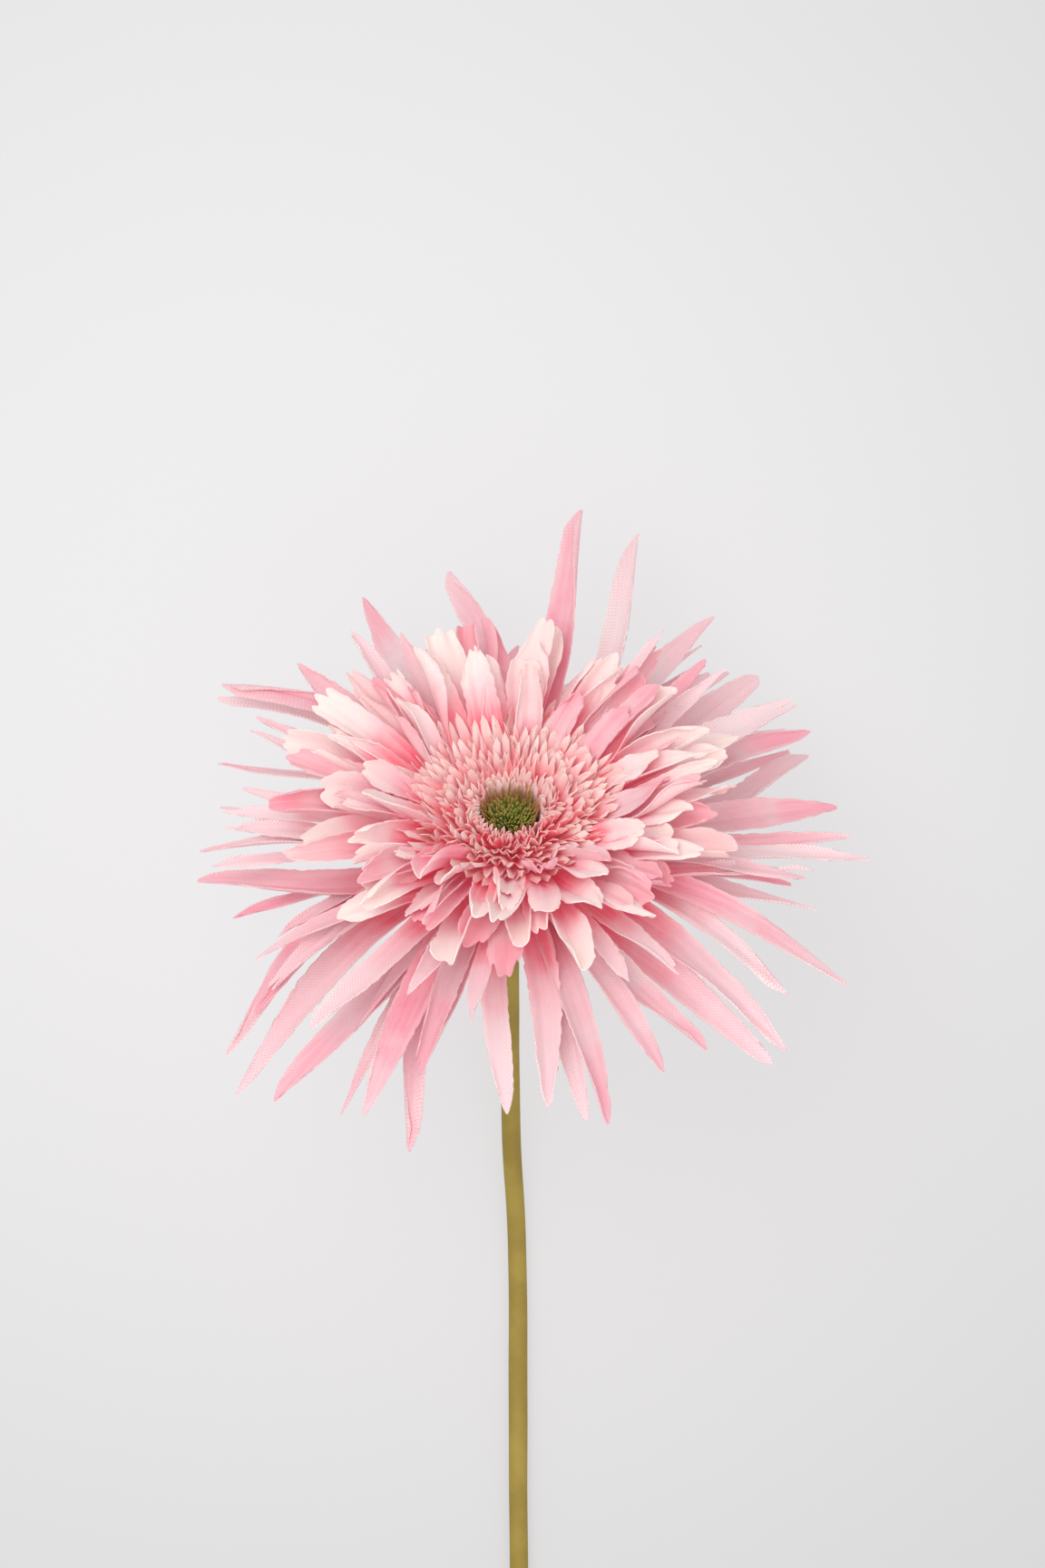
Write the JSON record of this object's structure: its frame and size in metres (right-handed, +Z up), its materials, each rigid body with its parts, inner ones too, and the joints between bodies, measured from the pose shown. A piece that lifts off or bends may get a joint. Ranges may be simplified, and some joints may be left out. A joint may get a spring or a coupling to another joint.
{
  "type": "artificial cut gerbera",
  "caption": "Cut artificial spider gerbera lying down: a bent stem, a head of long pointed petals and broad petals, a fringe of florets and a green eye.",
  "frame": {"origin": "on the table under the middle of the whole flower's box", "axes": "+Z up from the table, +Y along the stem from its cut end towards the head, +X to the right seen from above with the head away"},
  "size_m": [0.1504, 0.4501, 0.1182],
  "materials": {
    "long_petal_pink": "matt woven cloth, pale pink with stronger pink at some roots and tips",
    "mid_petal_cream": "matt woven cloth, cream at the tips and pink at the roots",
    "fringe_pink": "matt woven cloth, deep red at the roots and pale pink at the tips",
    "eye_green": "matt tufted cloth, dark green",
    "calyx_green": "matt moulded plastic, dark green",
    "receptacle_cream": "matt moulded plastic, hidden by the petals",
    "stem_olive": "matt plastic-coated wire, olive green"
  },
  "bodies": {
    "root": {"calyx": "calyx_green", "eye": "eye_green", "fringe_ring_inner": "fringe_pink", "fringe_ring_outer": "fringe_pink", "fringe_ring_second": "fringe_pink", "fringe_ring_third": "fringe_pink", "long_petal_01": "long_petal_pink", "long_petal_02": "long_petal_pink", "long_petal_03": "long_petal_pink", "long_petal_04": "long_petal_pink", "long_petal_05": "long_petal_pink", "long_petal_06": "long_petal_pink", "long_petal_07": "long_petal_pink", "long_petal_08": "long_petal_pink", "long_petal_09": "long_petal_pink", "long_petal_10": "long_petal_pink", "long_petal_11": "long_petal_pink", "long_petal_12": "long_petal_pink", "long_petal_13": "long_petal_pink", "long_petal_14": "long_petal_pink", "long_petal_15": "long_petal_pink", "long_petal_16": "long_petal_pink", "long_petal_17": "long_petal_pink", "long_petal_18": "long_petal_pink", "long_petal_19": "long_petal_pink", "long_petal_20": "long_petal_pink", "long_petal_21": "long_petal_pink", "long_petal_22": "long_petal_pink", "long_petal_23": "long_petal_pink", "long_petal_24": "long_petal_pink", "long_petal_25": "long_petal_pink", "long_petal_26": "long_petal_pink", "long_petal_27": "long_petal_pink", "long_petal_28": "long_petal_pink", "long_petal_29": "long_petal_pink", "long_petal_30": "long_petal_pink", "long_petal_31": "long_petal_pink", "long_petal_32": "long_petal_pink", "long_petal_33": "long_petal_pink", "long_petal_34": "long_petal_pink", "long_petal_35": "long_petal_pink", "long_petal_36": "long_petal_pink", "long_petal_37": "long_petal_pink", "long_petal_38": "long_petal_pink", "long_petal_39": "long_petal_pink", "long_petal_40": "long_petal_pink", "long_petal_41": "long_petal_pink", "long_petal_42": "long_petal_pink", "long_petal_43": "long_petal_pink", "long_petal_44": "long_petal_pink", "long_petal_45": "long_petal_pink", "long_petal_46": "long_petal_pink", "long_petal_47": "long_petal_pink", "long_petal_48": "long_petal_pink", "long_petal_49": "long_petal_pink", "mid_petal_whorl_lower": "mid_petal_cream", "mid_petal_whorl_middle": "mid_petal_cream", "mid_petal_whorl_upper": "mid_petal_cream", "receptacle": "receptacle_cream", "stem": "stem_olive"}
  },
  "joints": []
}
